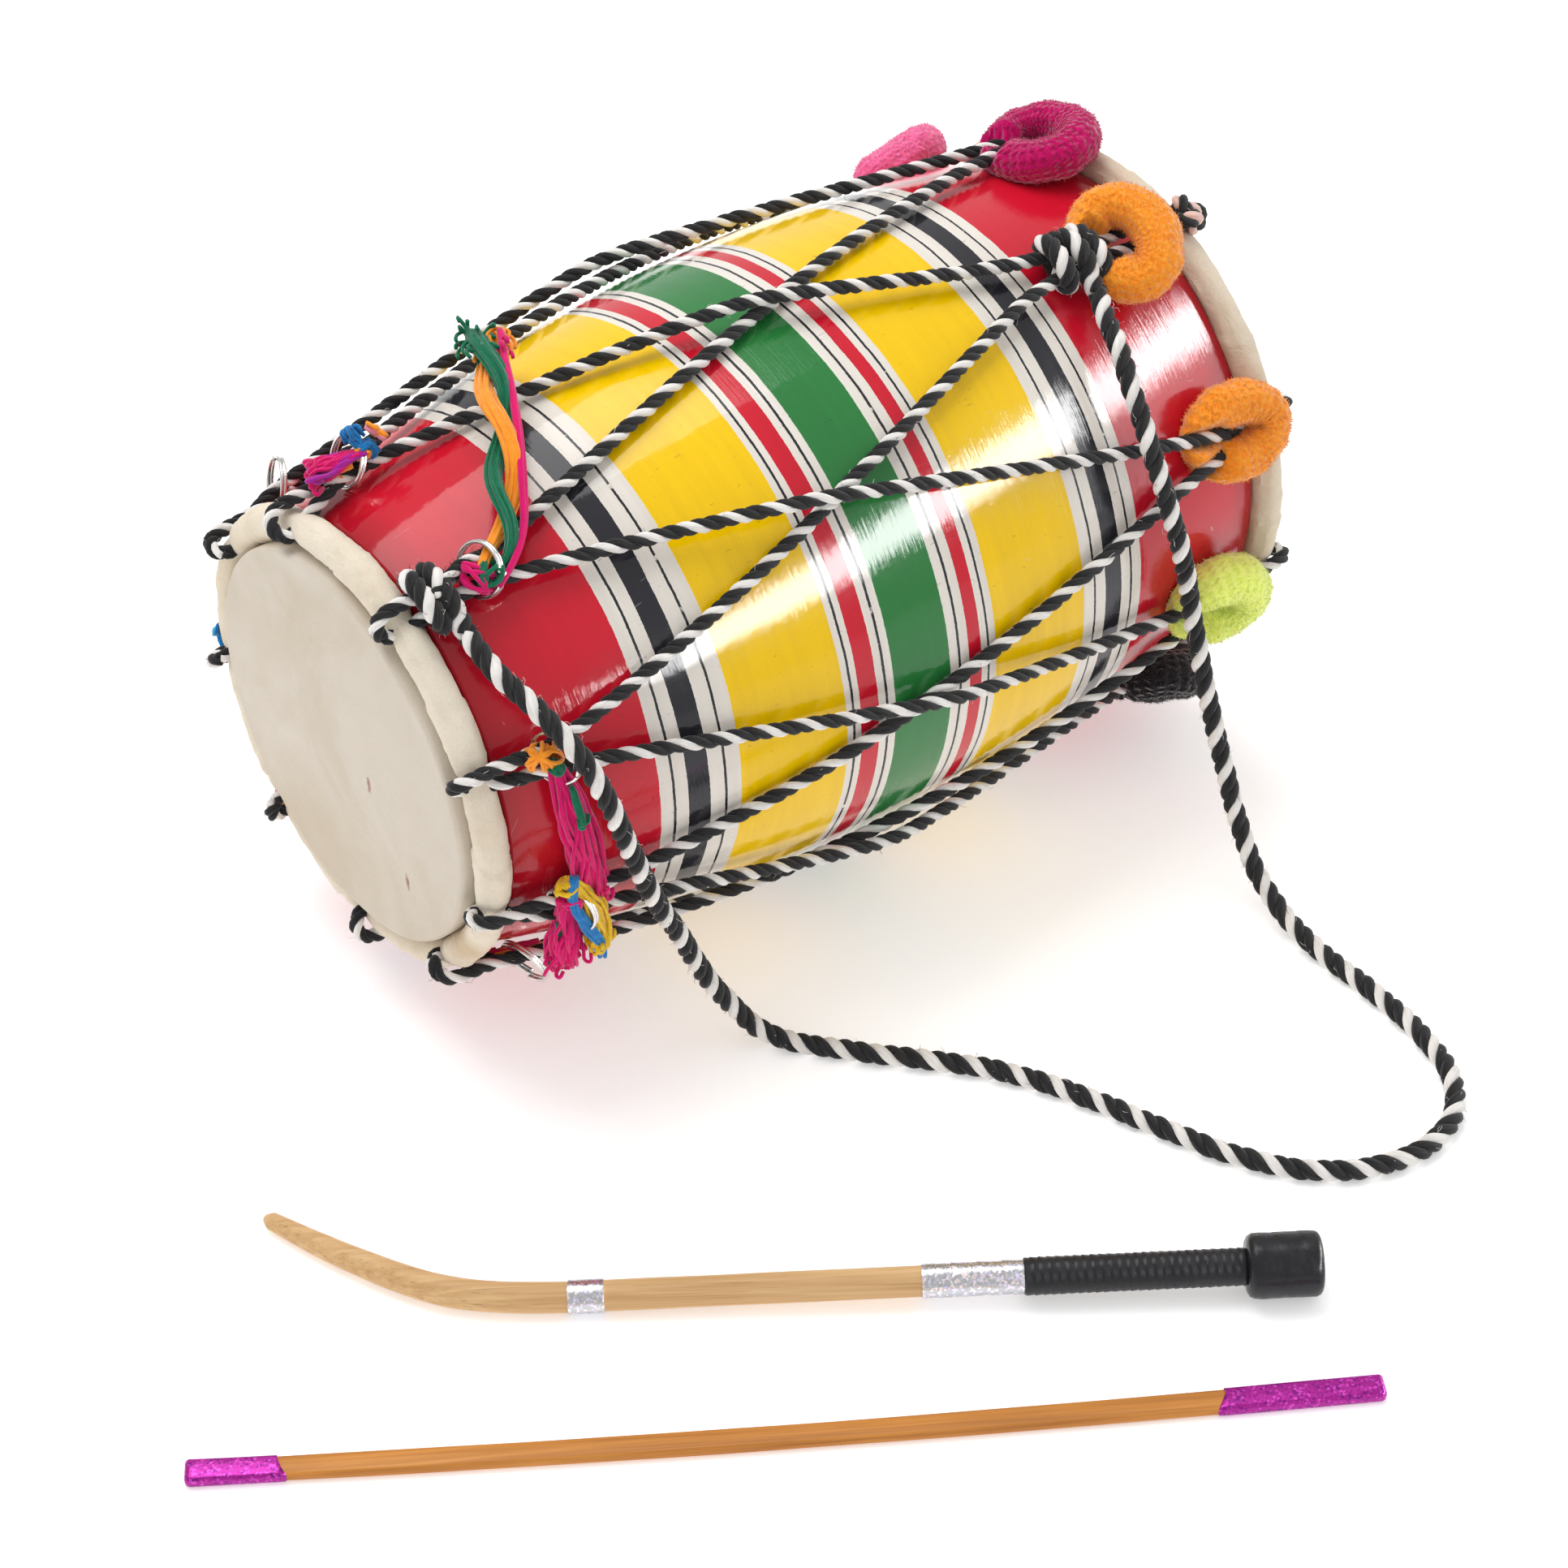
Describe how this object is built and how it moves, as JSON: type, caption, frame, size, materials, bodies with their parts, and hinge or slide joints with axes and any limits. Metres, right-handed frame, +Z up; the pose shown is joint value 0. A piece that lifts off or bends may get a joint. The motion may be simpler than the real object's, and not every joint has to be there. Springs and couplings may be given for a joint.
{
  "type": "dhol",
  "caption": "Rope-laced barrel drum with a hide head at each end, tuning rings, tassels, wool rolls, a shoulder rope, a bent beater and a flat cane.",
  "frame": {"origin": "middle of the footprint of everything but the strap, on the floor that the drum lies on", "axes": "+X along the drum from its small head to its large head, +Z up, -Y towards the two sticks"},
  "size_m": [0.5648, 0.5258, 0.2555],
  "materials": {
    "lacquered_wood": "gloss lacquer in painted bands of red, yellow, green, black and white",
    "drum_hide": "raw hide, satin",
    "hoop_hide": "hide wrapped over the hoop, matte",
    "twisted_rope": "three-strand cotton rope, two strands black and one white",
    "ring_steel": "plated split ring",
    "wool_pink": "wool roll",
    "wool_magenta": "wool roll",
    "wool_orange": "wool roll",
    "wool_neon": "wool roll",
    "wool_black": "wool roll",
    "wool_green": "wool roll",
    "yarn_green": "yarn bundle with orange and magenta",
    "yarn_magenta": "yarn bundle",
    "yarn_yellow": "yarn bundle",
    "yarn_blue": "yarn bundle",
    "yarn_orange": "yarn bundle",
    "stick_wood": "bare wood, satin",
    "silver_foil": "shiny foil tape",
    "grip_tape": "black tape, wound",
    "knob_tape": "black tape, wound",
    "cane": "varnished cane",
    "magenta_foil": "shiny foil tape"
  },
  "bodies": {
    "drum": {"shell": "lacquered_wood", "near_head_skin": "drum_hide", "far_head_skin": "drum_hide", "near_hoop": "hoop_hide", "far_hoop": "hoop_hide", "lacing_1": "twisted_rope", "lacing_2": "twisted_rope", "lacing_3": "twisted_rope", "lacing_4": "twisted_rope", "lacing_5": "twisted_rope", "lacing_6": "twisted_rope", "lacing_7": "twisted_rope", "lacing_8": "twisted_rope", "lacing_9": "twisted_rope", "pompom_1": "wool_orange", "pompom_2": "wool_orange", "pompom_3": "wool_neon", "pompom_4": "wool_black", "pompom_5": "wool_pink", "pompom_6": "wool_green", "pompom_7": "wool_magenta", "pompom_8": "wool_pink", "pompom_9": "wool_magenta", "strap": "twisted_rope", "strap_knot_near": "twisted_rope", "strap_knot_far": "twisted_rope", "lacing_stopper_knot": "twisted_rope"},
    "ring_1": {"tuning_ring_1": "ring_steel", "tassel_1": "yarn_green"},
    "ring_2": {"tuning_ring_2": "ring_steel", "tassel_2": "yarn_magenta"},
    "ring_3": {"tuning_ring_3": "ring_steel", "tassel_3": "yarn_yellow"},
    "ring_4": {"tuning_ring_4": "ring_steel", "tassel_4": "yarn_magenta"},
    "ring_5": {"tuning_ring_5": "ring_steel", "tassel_5": "yarn_blue"},
    "ring_6": {"tuning_ring_6": "ring_steel", "tassel_6": "yarn_orange"},
    "ring_7": {"tuning_ring_7": "ring_steel", "tassel_7": "yarn_blue"},
    "ring_8": {"tuning_ring_8": "ring_steel", "tassel_8": "yarn_yellow"},
    "ring_9": {"tuning_ring_9": "ring_steel", "tassel_9": "yarn_magenta"},
    "dagga": {"dagga_shaft": "stick_wood", "dagga_silver_band": "silver_foil", "dagga_silver_foil": "silver_foil", "dagga_grip_wrap": "grip_tape", "dagga_knob": "knob_tape"},
    "tilli": {"tilli_cane": "cane", "tilli_foil_wraps": "magenta_foil"}
  },
  "joints": [
    {"name": "ring_1_slide", "type": "slide", "parent": "drum", "child": "ring_1", "axis": [0.9666, -0.1124, 0.2304], "range_m": [-0.004, 0]},
    {"name": "ring_2_slide", "type": "slide", "parent": "drum", "child": "ring_2", "axis": [0.9649, -0.2401, 0.1069], "range_m": [-0.004, 0]},
    {"name": "ring_3_slide", "type": "slide", "parent": "drum", "child": "ring_3", "axis": [0.9649, -0.2541, -0.0671], "range_m": [-0.004, 0]},
    {"name": "ring_4_slide", "type": "slide", "parent": "drum", "child": "ring_4", "axis": [0.9649, -0.1661, -0.2036], "range_m": [-0.004, 0]},
    {"name": "ring_5_slide", "type": "slide", "parent": "drum", "child": "ring_5", "axis": [0.9649, 0, -0.2628], "range_m": [-0.004, 0]},
    {"name": "ring_6_slide", "type": "slide", "parent": "drum", "child": "ring_6", "axis": [0.9649, 0.1689, -0.2013], "range_m": [-0.004, 0]},
    {"name": "ring_7_slide", "type": "slide", "parent": "drum", "child": "ring_7", "axis": [0.9649, 0.2597, -0.0402], "range_m": [-0.004, 0]},
    {"name": "ring_8_slide", "type": "slide", "parent": "drum", "child": "ring_8", "axis": [0.9649, 0.2229, 0.1393], "range_m": [-0.004, 0]},
    {"name": "ring_9_slide", "type": "slide", "parent": "drum", "child": "ring_9", "axis": [0.9649, 0.0812, 0.2499], "range_m": [-0.004, 0]},
    {"name": "dagga_lift", "type": "slide", "parent": "drum", "child": "dagga", "axis": [0, 0, 1], "range_m": [0, 0.15]},
    {"name": "tilli_lift", "type": "slide", "parent": "drum", "child": "tilli", "axis": [0, 0, 1], "range_m": [0, 0.15]}
  ]
}
